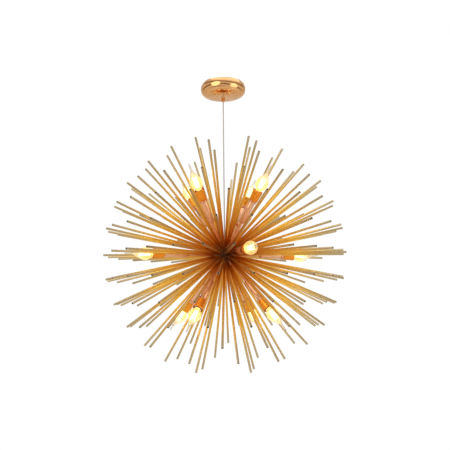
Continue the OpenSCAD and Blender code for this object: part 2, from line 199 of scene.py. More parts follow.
class Effects:
    """Shader node groups that several finishes share, each built once."""

    def __init__(self) -> None:
        """Start with no group built."""
        self.built: dict[str, bpy.types.NodeTree] = {}

    def group(self, name: str, inputs: dict[str, tuple[str, object]],
              outputs: dict[str, str], fill: Callable[..., None]) -> bpy.types.NodeTree:
        """Give the group of that name, building it the first time.

        Args:
            name: The group's name.
            inputs: Socket type and default value of each input.
            outputs: Socket type of each output.
            fill: Builds the inside, from the graph, the input node and the output node.

        Returns:
            The node group.
        """
        if name not in self.built:
            tree = bpy.data.node_groups.new(name, "ShaderNodeTree")
            graph = Graph(tree)
            for key, (kind, value) in inputs.items():
                socket = tree.interface.new_socket(name=key, in_out="INPUT", socket_type=kind)
                if value is not None:
                    socket.default_value = value
            for key, kind in outputs.items():
                tree.interface.new_socket(name=key, in_out="OUTPUT", socket_type=kind)
            fill(graph, graph.add("NodeGroupInput"), graph.add("NodeGroupOutput"))
            self.built[name] = tree
        return self.built[name]

    def place(self, graph: Graph, tree: bpy.types.NodeTree, **values: object) -> bpy.types.Node:
        """Put a group into a material.

        Args:
            graph: The material's graph.
            tree: The group.
            values: Values or sockets of the group's inputs; underscores stand for spaces.

        Returns:
            The group's node.
        """
        node = graph.add("Group")
        node.node_tree = tree
        for key, value in values.items():
            graph.feed(node.inputs[key.replace("_", " ")], value)
        return node

    def rays(self) -> bpy.types.NodeTree:
        """Directions and distances from a centre, for patterns that follow the rods.

        Returns:
            The group: Centre in; Direction and Distance out.
        """
        def fill(graph: Graph, entry: bpy.types.Node, leave: bpy.types.Node) -> None:
            """Take the centre away from Object coordinates and split the rest in two."""
            place = graph.add("TexCoord").outputs["Object"]
            offset = graph.vector("SUBTRACT", place, entry.outputs["Centre"]).outputs[0]
            length = graph.vector("LENGTH", offset).outputs["Value"]
            graph.link(graph.vector("NORMALIZE", offset).outputs[0], leave.inputs["Direction"])
            graph.link(length, leave.inputs["Distance"])

        return self.group(
            "rays", {"Centre": ("NodeSocketVector", (0.0, 0.0, 0.0))},
            {"Direction": "NodeSocketVector", "Distance": "NodeSocketFloat"}, fill)

    def patina(self) -> bpy.types.NodeTree:
        """Soft patches of tone and of polish.

        Returns:
            The group: Vector and Scale in; Tone and Haze out.
        """
        def fill(graph: Graph, entry: bpy.types.Node, leave: bpy.types.Node) -> None:
            """Use one coarse noise for the tone and a finer one for the haze."""
            for key, factor, detail in (("Tone", 1.0, 2.0), ("Haze", 3.7, 5.0)):
                noise = graph.add("TexNoise")
                noise.inputs["Detail"].default_value = detail
                graph.link(entry.outputs["Vector"], noise.inputs["Vector"])
                scale = graph.math("MULTIPLY", entry.outputs["Scale"], factor)
                graph.link(scale, noise.inputs["Scale"])
                graph.link(graph.ramp(noise.outputs[0], 0.3, 0.7), leave.inputs[key])

        return self.group(
            "patina",
            {"Vector": ("NodeSocketVector", None), "Scale": ("NodeSocketFloat", 10.0)},
            {"Tone": "NodeSocketFloat", "Haze": "NodeSocketFloat"}, fill)

    def brushed(self) -> bpy.types.NodeTree:
        """Fine lines that run out from a centre, as tube drawing leaves them.

        Returns:
            The group: Direction, Distance, Fineness in; Height out.
        """
        def fill(graph: Graph, entry: bpy.types.Node, leave: bpy.types.Node) -> None:
            """Squeeze a noise across the lines and stretch it along them."""
            across = graph.scaled(entry.outputs["Direction"], entry.outputs["Fineness"])
            along = graph.scaled(entry.outputs["Direction"], entry.outputs["Distance"])
            spot = graph.vector("ADD", across, graph.scaled(along, 18.0)).outputs[0]
            noise = graph.add("TexNoise")
            noise.inputs["Detail"].default_value = 3.0
            noise.inputs["Scale"].default_value = 1.0
            graph.link(spot, noise.inputs["Vector"])
            graph.link(noise.outputs[0], leave.inputs["Height"])

        return self.group(
            "brushed",
            {"Direction": ("NodeSocketVector", None), "Distance": ("NodeSocketFloat", 0.0),
             "Fineness": ("NodeSocketFloat", 400.0)},
            {"Height": "NodeSocketFloat"}, fill)

    def thread(self) -> bpy.types.NodeTree:
        """Thread crests at a fixed pitch along the distance from a centre.

        Returns:
            The group: Distance and Pitch in; Height out.
        """
        def fill(graph: Graph, entry: bpy.types.Node, leave: bpy.types.Node) -> None:
            """Make a wave of one crest to each pitch."""
            turns = graph.math("DIVIDE", entry.outputs["Distance"], entry.outputs["Pitch"])
            wave = graph.math("PINGPONG", turns, 0.5)
            graph.link(graph.math("MULTIPLY", wave, 2.0), leave.inputs["Height"])

        return self.group(
            "thread",
            {"Distance": ("NodeSocketFloat", 0.0), "Pitch": ("NodeSocketFloat", 0.0005)},
            {"Height": "NodeSocketFloat"}, fill)


EFFECTS = Effects()


def new_material(name: str) -> tuple[bpy.types.Material, Graph, bpy.types.Node]:
    """Start a material with a Principled BSDF.

    Args:
        name: The material's name.

    Returns:
        The material, its graph and its Principled node.
    """
    material = bpy.data.materials.new(name)
    material.use_nodes = True
    graph = Graph(material.node_tree)
    shader = graph.add("BsdfPrincipled")
    output = graph.add("OutputMaterial")
    graph.link(shader.outputs[0], output.inputs["Surface"])
    return material, graph, shader


def add_bump(graph: Graph, shader: bpy.types.Node, height: bpy.types.NodeSocket,
             strength: float, distance: float) -> None:
    """Raise the surface by a height.

    Args:
        graph: The material's graph.
        shader: The Principled node.
        height: The height, from 0 to 1.
        strength: Share of the bump that shows.
        distance: What a height of 1 stands for, in metres.
    """
    bump = graph.add("Bump")
    bump.inputs["Strength"].default_value = strength
    bump.inputs["Distance"].default_value = distance
    graph.link(height, bump.inputs["Height"])
    graph.link(bump.outputs[0], shader.inputs["Normal"])


@dataclass(frozen=True)
class MetalFinish:
    """A metal with patches of tone and haze.

    It may have drawn lines or a thread, a painted shade with painted warm inter-reflection near
    the centre, and another tone at its tip.
    """

    name: str
    colour: Colour
    deep: Colour
    roughness: float
    haze: float = 0.06
    patch_scale: float = 25.0
    by_ray: bool = False
    lines: float = 0.0
    thread_pitch: float = 0.0
    root_shade: Colour | None = None
    tip: Colour | None = None
    root_shade_span: tuple[float, float] = (0.07, 0.19)
    tip_span: tuple[float, float] = (0.2, 0.32)
    centre: tuple[float, float, float] = (0.0, 0.0, 0.0)

    def material(self) -> bpy.types.Material:
        """Build the material.

        Returns:
            The material, ready to assign.
        """
        material, graph, shader = new_material(self.name)
        rays = EFFECTS.place(graph, EFFECTS.rays(), Centre=self.centre)
        spot = (rays.outputs["Direction"] if self.by_ray
                else graph.add("TexCoord").outputs["Object"])
        patina = EFFECTS.place(graph, EFFECTS.patina(), Vector=spot, Scale=self.patch_scale)
        colour = graph.mix(patina.outputs["Tone"], (*self.colour, 1.0), (*self.deep, 1.0))
        # Painted shade: towards the centre the colour turns darker and a deeper orange, for the
        # shade and warm inter-reflection among the crowded rods.
        if self.root_shade:
            outward = graph.ramp(rays.outputs["Distance"], *self.root_shade_span)
            colour = graph.mix(outward, (*self.root_shade, 1.0), colour)
        if self.tip:
            outward = graph.ramp(rays.outputs["Distance"], *self.tip_span)
            colour = graph.mix(outward, colour, (*self.tip, 1.0))
        graph.link(colour, shader.inputs["Base Color"])
        low, high = self.roughness - self.haze, self.roughness + self.haze
        graph.link(graph.ramp(patina.outputs["Haze"], 0.0, 1.0, low, high),
                   shader.inputs["Roughness"])
        shader.inputs["Metallic"].default_value = 1.0
        if self.thread_pitch:
            thread = EFFECTS.place(graph, EFFECTS.thread(), Pitch=self.thread_pitch,
                                   Distance=rays.outputs["Distance"])
            add_bump(graph, shader, thread.outputs["Height"], 0.9, 0.3 * MM)
        elif self.lines:
            brushed = EFFECTS.place(graph, EFFECTS.brushed(), Direction=rays.outputs["Direction"],
                                    Distance=rays.outputs["Distance"], Fineness=900.0)
            add_bump(graph, shader, brushed.outputs["Height"], self.lines, 0.05 * MM)
        return material


@dataclass(frozen=True)
class PlasticFinish:
    """A moulded plastic or sheath, with a fine orange-peel skin."""

    name: str
    colour: Colour
    deep: Colour
    roughness: float
    skin: float = 900.0

    def material(self) -> bpy.types.Material:
        """Build the material.

        Returns:
            The material, ready to assign.
        """
        material, graph, shader = new_material(self.name)
        spot = graph.add("TexCoord").outputs["Object"]
        patina = EFFECTS.place(graph, EFFECTS.patina(), Vector=spot, Scale=60.0)
        colour = graph.mix(patina.outputs["Tone"], (*self.colour, 1.0), (*self.deep, 1.0))
        graph.link(colour, shader.inputs["Base Color"])
        low, high = self.roughness - 0.05, self.roughness + 0.05
        graph.link(graph.ramp(patina.outputs["Haze"], 0.0, 1.0, low, high),
                   shader.inputs["Roughness"])
        peel = graph.add("TexNoise")
        peel.inputs["Scale"].default_value = self.skin
        graph.link(spot, peel.inputs["Vector"])
        add_bump(graph, shader, peel.outputs[0], 0.15, 0.1 * MM)
        return material


@dataclass(frozen=True)
class LitGlassFinish:
    """Clear bulb glass that glows warmly around its filaments and is clear at its tip."""

    name: str
    tint: Colour
    glow: Colour
    strength: float
    centre: tuple[float, float, float]
    glow_from: float
    glow_to: float

    def material(self) -> bpy.types.Material:
        """Build the material.

        Returns:
            The material, ready to assign.
        """
        material, graph, shader = new_material(self.name)
        rays = EFFECTS.place(graph, EFFECTS.rays(), Centre=self.centre)
        fade = graph.ramp(rays.outputs["Distance"], self.glow_from, self.glow_to, 1.0, 0.0)
        eased = graph.math("POWER", fade, 1.4)
        patina = EFFECTS.place(graph, EFFECTS.patina(), Scale=90.0,
                               Vector=graph.add("TexCoord").outputs["Object"])
        clear = graph.mix(patina.outputs["Tone"], (0.99, 0.98, 0.94, 1.0), (1.0, 1.0, 0.98, 1.0))
        tint = graph.mix(eased, clear, (*self.tint, 1.0))
        graph.link(tint, shader.inputs["Base Color"])
        shader.inputs["Roughness"].default_value = 0.02
        shader.inputs["IOR"].default_value = 1.45
        shader.inputs["Metallic"].default_value = 0.0
        shader.inputs["Transmission Weight"].default_value = 1.0
        lit = graph.mix(eased, (0.0, 0.0, 0.0, 1.0), (*self.glow, 1.0))
        graph.link(lit, shader.inputs["Emission Color"])
        shader.inputs["Emission Strength"].default_value = self.strength
        return material


@dataclass(frozen=True)
class FilamentFinish:
    """The glowing coat of a filament stick, a little uneven along its length."""

    name: str
    colour: Colour
    strength: float

    def material(self) -> bpy.types.Material:
        """Build the material.

        Returns:
            The material, ready to assign.
        """
        material, graph, shader = new_material(self.name)
        spot = graph.add("TexCoord").outputs["Object"]
        patina = EFFECTS.place(graph, EFFECTS.patina(), Vector=spot, Scale=400.0)
        deep = tuple(0.8 * part for part in self.colour)
        colour = graph.mix(patina.outputs["Tone"], (*self.colour, 1.0), (*deep, 1.0))
        graph.link(colour, shader.inputs["Base Color"])
        graph.link(colour, shader.inputs["Emission Color"])
        shader.inputs["Emission Strength"].default_value = self.strength
        shader.inputs["Roughness"].default_value = 0.6
        return material


# ---------------------------------------------------------------- mesh building


def round_off(mesh: bmesh.types.BMesh, width: float, angle: float = math.radians(40)) -> None:
    """Round the edges that turn by more than an angle.

    Args:
        mesh: The mesh to change.
        width: Width of the rounding, in metres.
        angle: Smallest turn between two faces that counts as an edge.
    """
    edges = [edge for edge in mesh.edges
             if len(edge.link_faces) == 2 and edge.calc_face_angle(0.0) > angle]
    bmesh.ops.bevel(mesh, geom=edges, offset=width, offset_type="OFFSET", affect="EDGES",
                    segments=2, profile=0.5, material=-1, clamp_overlap=True)


def lathe(mesh: bmesh.types.BMesh, outline: Outline, steps: int, closed: bool) -> None:
    """Turn an outline about Z.

    Args:
        mesh: The mesh to add to.
        outline: Points as radius and height, in metres.
        steps: Number of flats round the axis.
        closed: Whether the last point joins the first, as on a ring or a shell.
    """
    points = [mesh.verts.new((radius, 0.0, height)) for radius, height in outline]
    pairs = list(zip(points, points[1:]))
    if closed:
        pairs.append((points[-1], points[0]))
    edges = [mesh.edges.new(pair) for pair in pairs]
    bmesh.ops.spin(mesh, geom=points + edges, cent=(0, 0, 0), axis=(0, 0, 1), dvec=(0, 0, 0),
                   angle=math.tau, steps=steps, use_merge=True, use_duplicate=False)
    bmesh.ops.remove_doubles(mesh, verts=mesh.verts, dist=1e-6)
    loose = [face for face in mesh.faces if face.calc_area() < 1e-14]
    bmesh.ops.delete(mesh, geom=loose, context="FACES")
    bmesh.ops.recalc_face_normals(mesh, faces=mesh.faces)


def finish_piece(mesh: bmesh.types.BMesh, name: str, finish: bpy.types.Material,
                 facing: Facing = Facing.CREASED) -> bpy.types.Object:
    """Turn a bmesh into an object of the scene.

    Args:
        mesh: The finished mesh, which is freed.
        name: The piece's name.
        finish: Its material.
        facing: How its edges are shaded.

    Returns:
        The new object, at the origin.
    """
    data = bpy.data.meshes.new(name)
    mesh.to_mesh(data)
    mesh.free()
    data.shade_smooth()
    if facing is Facing.CREASED:
        data.set_sharp_from_angle(angle=facing.value)
    data.materials.append(finish)
    piece = bpy.data.objects.new(name, data)
    bpy.context.scene.collection.objects.link(piece)
    LOG.info("piece %s: %d faces", name, len(data.polygons))
    return piece


def stand_for(piece: bpy.types.Object, body: str, slot: Slot, *nodes: str) -> bpy.types.Object:
    """Ride a piece on a body, in place of CAD nodes.

    Args:
        piece: The new piece.
        body: The body that it moves with.
        slot: The record's material slot; not used.
        nodes: The nodes that it stands for, if any.

    Returns:
        The piece.
    """
    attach(piece, body)
    if nodes:
        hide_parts(*nodes)
    return piece


def dress(node: str, finish: bpy.types.Material) -> None:
    """Give a CAD node that stays its finish.

    Args:
        node: The node's name.
        finish: Its material.
    """
    data = frame["nodes"][node].data
    data.materials.clear()
    data.materials.append(finish)
    LOG.info("node %s: %s", node, finish.name)


# ---------------------------------------------------------------- measuring the frame


@dataclass(frozen=True)
class Ray:
    """A line out of the burst that pieces are threaded on."""

    centre: Vector
    along: Vector

    def place(self) -> Matrix:
        """Matrix that takes +Z at the origin to this ray."""
        turn = Vector((0, 0, 1)).rotation_difference(self.along)
        return Matrix.Translation(self.centre) @ turn.to_matrix().to_4x4()

    def split(self, point: Vector) -> tuple[float, float]:
        """Measure how far along this ray a point lies, and how far aside of it."""
        offset = point - self.centre
        distance = offset.dot(self.along)
        return distance, (offset - distance * self.along).length

    def splits(self, node: str) -> list[tuple[float, float]]:
        """Measure every vertex of a node against this ray."""
        return [self.split(vertex.co) for vertex in frame["nodes"][node].data.vertices]

    def spread(self, node: str, reach: float, beyond: float = 0.0) -> tuple[float, float, float]:
        """Measure the part of a node that lies round this ray.

        Args:
            node: The node's name.
            reach: How far from the ray a vertex may lie, in metres.
            beyond: Distance from the centre that the part starts at, in metres.

        Returns:
            Nearest and farthest distance from the centre, and the largest distance from the ray.
        """
        inside = [(distance, aside) for distance, aside in self.splits(node)
                  if distance > beyond and aside < reach]
        return min(inside)[0], max(inside)[0], max(aside for _, aside in inside)


def joint(name: str) -> dict:
    """Find a joint of the frame by its name."""
    return next(entry for entry in frame["joints"] if entry["name"] == name)


CENTRE = Vector(joint("burst_turn")["pos_m"])
PIVOT = Vector(joint("swing_side")["pos_m"])
BULB_COUNT = sum(entry["name"].startswith("bulb_") for entry in frame["joints"])
LAMP_RAYS = [Ray(CENTRE, Vector(joint(f"bulb_{index:02d}_unscrew")["axis"]).normalized())
             for index in range(1, BULB_COUNT + 1)]


def lathe_on_rays(outline: Outline, steps: int, closed: bool, rounding: float,
                  rays: Sequence[Ray]) -> bmesh.types.BMesh:
    """Lathe one shape and set a copy on each ray.

    Args:
        outline: Points as radius and distance from the centre, in metres.
        steps: Number of flats round the axis.
        closed: Whether the outline is a closed loop.
        rounding: Width of the rounded edges, or 0 for none.
        rays: The rays that take a copy.

    Returns:
        One mesh with all the copies.
    """
    whole = bmesh.new()
    for ray in rays:
        part = bmesh.new()
        lathe(part, outline, steps, closed)
        if rounding:
            round_off(part, rounding)
        bmesh.ops.transform(part, matrix=ray.place(), verts=part.verts)
        data = bpy.data.meshes.new("part")
        part.to_mesh(data)
        part.free()
        whole.from_mesh(data)
        bpy.data.meshes.remove(data)
    return whole


# ---------------------------------------------------------------- sub-assemblies


@dataclass
class Canopy:
    """The spun canopy, its side screws and the crossbar inside it."""

    polished: bpy.types.Material
    zinc: bpy.types.Material
    plastic: bpy.types.Material
    wall: float = 1.0 * MM
    shoulder: float = 2.5
    arc_steps: int = 32
    flats: int = 160

    @staticmethod
    def section() -> tuple[float, float, float, float, float]:
        """Measure the canopy's section.

        Returns:
            Widest radius, its depth, radius at the rim, radius of the flat bottom, and height.
        """
        points = [(vertex.co.xy.length, -vertex.co.z)
                  for vertex in frame["nodes"]["canopy_cup"].data.vertices]
        wide, waist = max(points)
        height = max(depth for _, depth in points)
        rim = max(radius for radius, depth in points if depth < 0.1 * MM)
        flat = max(radius for radius, depth in points if depth > height - 0.1 * MM)
        return wide, max(waist, 0.1 * MM), rim, flat, height

    def curve(self, inset: float) -> list[tuple[float, float]]:
        """Points of the canopy's side, from the rim to the edge of its flat bottom.

        Args:
            inset: How far inside the outer face the points lie.

        Returns:
            The points as radius and height.
        """
        wide, waist, rim, flat, height = self.section()
        points = []
        for step in range(self.arc_steps):
            depth = waist * step / self.arc_steps
            tuck = (wide - rim) * (1 - depth / waist) ** 2
            points.append((wide - inset - tuck, -depth))
        for step in range(self.arc_steps + 1):
            turn = math.radians(90 * step / self.arc_steps)
            across = max(0.0, math.cos(turn)) ** (2 / self.shoulder)
            down = math.sin(turn) ** (2 / self.shoulder)
            points.append((flat + (wide - inset - flat) * across,
                           -waist - (height - inset - waist) * down))
        return points

    def shell(self) -> None:
        """Build the canopy with a hole for the cord grip and a rounded rim."""
        height = self.section()[-1]
        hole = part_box("cord_grip")[1].x * 0.85
        outline = (self.curve(0.0) + [(hole, -height), (hole, -height + self.wall)]
                   + self.curve(self.wall)[::-1])
        mesh = bmesh.new()
        lathe(mesh, outline, self.flats, closed=True)
        piece = finish_piece(mesh, "canopy_shell", self.polished)
        stand_for(piece, "canopy", Slot.POLISHED_GOLD, "canopy_cup")

    def screws(self) -> None:
        """Build the two side screws with domed heads."""
        node = "canopy_screws"
        vertices = frame["nodes"][node].data.vertices
        far = max(vertices, key=lambda vertex: vertex.co.x).co
        turn = math.atan2(far.y, far.x)
        low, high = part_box(node)
        level, head_r = (low.z + high.z) / 2, (high.z - low.z) / 2
        rays = [Ray(Vector((0, 0, level)), Vector((math.cos(way), math.sin(way), 0)))
                for way in (turn, turn + math.pi)]
        reach = max(vertex.co.xy.length for vertex in vertices)
        seat = min(distance for distance, aside in rays[0].splits(node)
                   if distance > 0 and aside > 0.8 * head_r)
        arc = [math.radians(angle) for angle in range(0, 90, 15)]
        dome = [(head_r * math.cos(angle), seat + (reach - seat) * (0.35 + 0.65 * math.sin(angle)))
                for angle in arc]
        shaft_r, foot = head_r * 0.5, seat - 4 * MM
        outline = [(0.0, foot), (shaft_r, foot), (shaft_r, seat), (head_r, seat), *dome,
                   (0.0, reach)]
        mesh = lathe_on_rays(outline, 32, False, 0.0, rays)
        piece = finish_piece(mesh, "canopy_side_screws", self.polished)
        stand_for(piece, "canopy", Slot.POLISHED_GOLD, node)

    def build(self) -> None:
        """Build and dress everything at the ceiling but the cord."""
        self.shell()
        self.screws()
        for node in ("ceiling_bracket", "terminal_screws", "grip_nut"):
            dress(node, self.zinc)
        dress("terminal_block", self.plastic)


@dataclass
class Suspension:
    """The cord with its grip, its bend and its ferrule."""

    polished: bpy.types.Material
    steel: bpy.types.Material
    nickel: bpy.types.Material
    sheath: bpy.types.Material
    points: int = 24
    clearance: float = 0.3 * MM
    flare: float = 1.2 * MM
    groove: float = 0.6 * MM

    def grip(self) -> None:
        """Build the turned cord grip with rounded edges and a flared mouth."""
        low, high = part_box("cord_grip")
        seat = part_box("canopy_cup")[0].z
        body_r = high.x
        groove_r = body_r - self.groove
        thread_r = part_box("grip_nut")[1].x * 0.5
        bore_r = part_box("cord")[1].x + self.clearance
        outline = [
            (bore_r + self.flare, low.z), (body_r - 1.2 * MM, low.z), (body_r, low.z + 1.6 * MM),
            (body_r, seat - 1.2 * MM), (groove_r, seat - 1.2 * MM),
            (groove_r, seat - 0.7 * MM), (body_r, seat - 0.7 * MM), (body_r, seat),
            (thread_r, seat), (thread_r, high.z), (bore_r, high.z), (bore_r, PIVOT.z),
        ]
        mesh = bmesh.new()
        lathe(mesh, outline, 64, closed=True)
        round_off(mesh, 0.2 * MM)
        piece = finish_piece(mesh, "turned_grip", self.polished)
        stand_for(piece, "canopy", Slot.POLISHED_GOLD, "cord_grip")

    def cord(self) -> None:
        """Build the taut cord from the grip down into the hub."""
        low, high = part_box("cord")
        diameter = high.x - low.x
        length = high.z - low.z
        curve = bpy.data.curves.new("hanging_cord", "CURVE")
        curve.dimensions = "3D"
        curve.bevel_depth = diameter / 2
        curve.bevel_resolution = 6
        curve.use_fill_caps = True
        line = curve.splines.new("POLY")
        line.points.add(self.points - 1)
        for index, point in enumerate(line.points):
            point.co = (0.0, 0.0, high.z - length * index / (self.points - 1), 1.0)
        curve.materials.append(self.sheath)
        piece = bpy.data.objects.new("hanging_cord", curve)
        bpy.context.scene.collection.objects.link(piece)
        stand_for(piece, "cord", Slot.CORD_GREY, "cord")
        LOG.info("piece hanging_cord: %.3f m", length)

    def build(self) -> None:
        """Build and dress the suspension."""
        self.cord()
        self.grip()
        dress("cord_tail", self.sheath)
        dress("cord_flex", self.sheath)
        dress("grip_set_screw", self.steel)
        dress("cord_stop", self.nickel)


@dataclass
class Hub:
    """The blackened ball at the centre and what is in it."""

    steel: bpy.types.Material
    plastic: bpy.types.Material

    def build(self) -> None:
        """Dress the ball, its gland and its connector."""
        for node in ("hub_upper", "hub_lower", "hub_gland"):
            dress(node, self.steel)
        dress("hub_connector", self.plastic)


@dataclass
class RodField:
    """The rings of rods on their studs, with painted shade in the mouths of their tubes."""

    rods: bpy.types.Material
    studs: bpy.types.Material
    painted_bore_shade: bpy.types.Material
    depth: float = 0.4 * MM
    end: float = 1.0 * MM
    apart: float = 12 * MM

    def rays(self, node: str) -> list[Ray]:
        """Find the rays that the rods of a node lie on.

        Args:
            node: The node's name.

        Returns:
            One ray for each rod.
        """
        offsets = [vertex.co - CENTRE for vertex in frame["nodes"][node].data.vertices]
        reach = max(offset.length for offset in offsets) - self.end
        groups: list[list[Vector]] = []
        for offset in offsets:
            if offset.length < reach:
                continue
            home = next((group for group in groups
                         if (group[0] - offset).length < self.apart), None)
            if home is None:
                groups.append([offset])
            else:
                home.append(offset)
        ends = [(sum(group, Vector()) / len(group)).normalized() for group in groups]
        return [Ray(CENTRE, end) for end in ends]

    def mouths(self, nodes: Sequence[str]) -> None:
        """Set a thin dark disc just inside the mouth of each tube, as painted shade in its bore.

        Args:
            nodes: The nodes that hold the rods.
        """
        whole = bmesh.new()
        for node in nodes:
            for ray in self.rays(node):
                points = ray.splits(node)
                far = max(distance for distance, aside in points if aside < self.apart / 2)
                bore = min(aside for distance, aside in points if distance > far - self.end)
                level = Matrix.Translation((0, 0, far - self.depth))
                bmesh.ops.create_cone(whole, cap_ends=True, segments=12, radius1=0.97 * bore,
                                      radius2=0.97 * bore, depth=self.depth,
                                      matrix=ray.place() @ level)
        # Painted shade: near-black discs stand in for the shade inside the tube bores.
        piece = finish_piece(whole, "rod_mouth_shade", self.painted_bore_shade)
        stand_for(piece, "burst", Slot.BLACK_STEEL)

    def build(self) -> None:
        """Dress every ring of rods, and the studs."""
        nodes = [node for node in sorted(frame["nodes"]) if node.startswith("rods_")]
        for node in nodes:
            dress(node, self.rods)
        dress("studs", self.studs)
        self.mouths(nodes)


@dataclass
class LampArms:
    """Arms, sleeves, collars, cups and holders on the twelve lamp rays."""

    rose: bpy.types.Material
    cup: bpy.types.Material
    steel: bpy.types.Material
    zinc: bpy.types.Material
    plastic: bpy.types.Material
    wire: bpy.types.Material
    reach: float = 25 * MM
    wall: float = 1.0 * MM
    flats: int = 64
    rays: list[Ray] = field(default_factory=lambda: LAMP_RAYS)

    def arm_radius(self) -> float:
        """Radius of an arm, measured at its outer end, where the arms stand well apart."""
        start = self.rays[0].spread("lamp_sleeves", self.reach)[0]
        return self.rays[0].spread("lamp_arms", self.reach, start)[2]

    def sleeves(self) -> None:
        """Build the polished sleeves, closed at the hub's end and with softened edges."""
        near, far, wide = self.rays[0].spread("lamp_sleeves", self.reach)
        arm_r = self.arm_radius()
        outline = [
            (arm_r, near), (wide - 2.0 * MM, near), (wide, near + 1.6 * MM), (wide, far),
            (wide - 1.5 * MM, far), (wide - 1.5 * MM, near + 3 * MM), (arm_r, near + 3 * MM),
        ]
        mesh = lathe_on_rays(outline, self.flats, True, 0.35 * MM, self.rays)
        piece = finish_piece(mesh, "polished_sleeves", self.rose)
        stand_for(piece, "burst", Slot.ROSE_GOLD, "lamp_sleeves")

    def collars(self) -> None:
        """Build the grooved rings."""
        near, far, wide = self.rays[0].spread("lamp_collars", self.reach)
        arm_r = self.arm_radius()
        flange = (far - near) / 3.5
        groove = wide - 1.6 * MM
        outline = [
            (arm_r, near), (wide, near), (wide, near + flange), (groove, near + flange),
            (groove, far - flange), (wide, far - flange), (wide, far), (arm_r, far),
        ]
        mesh = lathe_on_rays(outline, self.flats, True, 0.3 * MM, self.rays)
        piece = finish_piece(mesh, "grooved_collars", self.rose)
        stand_for(piece, "burst", Slot.ROSE_GOLD, "lamp_collars")

    def cups(self) -> None:
        """Build the flared cups with a rounded foot and a rolled mouth."""
        near, far, mouth = self.rays[0].spread("lamp_cups", self.reach)
        foot = self.foot_radius("lamp_cups", near)
        arm_r = self.arm_radius()
        length = far - near
        outer = [(foot - 1.5 * MM, near), (foot - 0.4 * MM, near + 0.4 * MM),
                 (foot, near + 1.5 * MM)]
        steps = 6
        for step in range(1, steps + 1):
            share = step / steps
            outer.append((foot + (mouth - foot) * share, near + 1.5 * MM
                          + (length - 1.5 * MM) * share))
        inner = [(radius - self.wall, max(height, near + self.wall))
                 for radius, height in reversed(outer)]
        outline = [(arm_r, near)] + outer + inner + [(arm_r, near + self.wall)]
        mesh = lathe_on_rays(outline, self.flats, True, 0.25 * MM, self.rays)
        piece = finish_piece(mesh, "flared_cups", self.cup)
        stand_for(piece, "burst", Slot.CUP_GOLD_PAINTED_GLOW, "lamp_cups")

    def foot_radius(self, node: str, near: float) -> float:
        """Radius of a cup just above its floor.

        Args:
            node: The cups' node.
            near: Distance of the floor from the centre.

        Returns:
            The radius, in metres.
        """
        return max(aside for distance, aside in self.rays[0].splits(node)
                   if near < distance < near + 2 * MM and aside < self.reach)

    def build(self) -> None:
        """Build and dress the lamp arms."""
        self.sleeves()
        self.collars()
        self.cups()
        dress("lamp_arms", self.rose)
        dress("collar_screws", self.steel)
        dress("arm_nuts", self.zinc)
        dress("lamp_holders", self.plastic)
        dress("lamp_wires", self.wire)


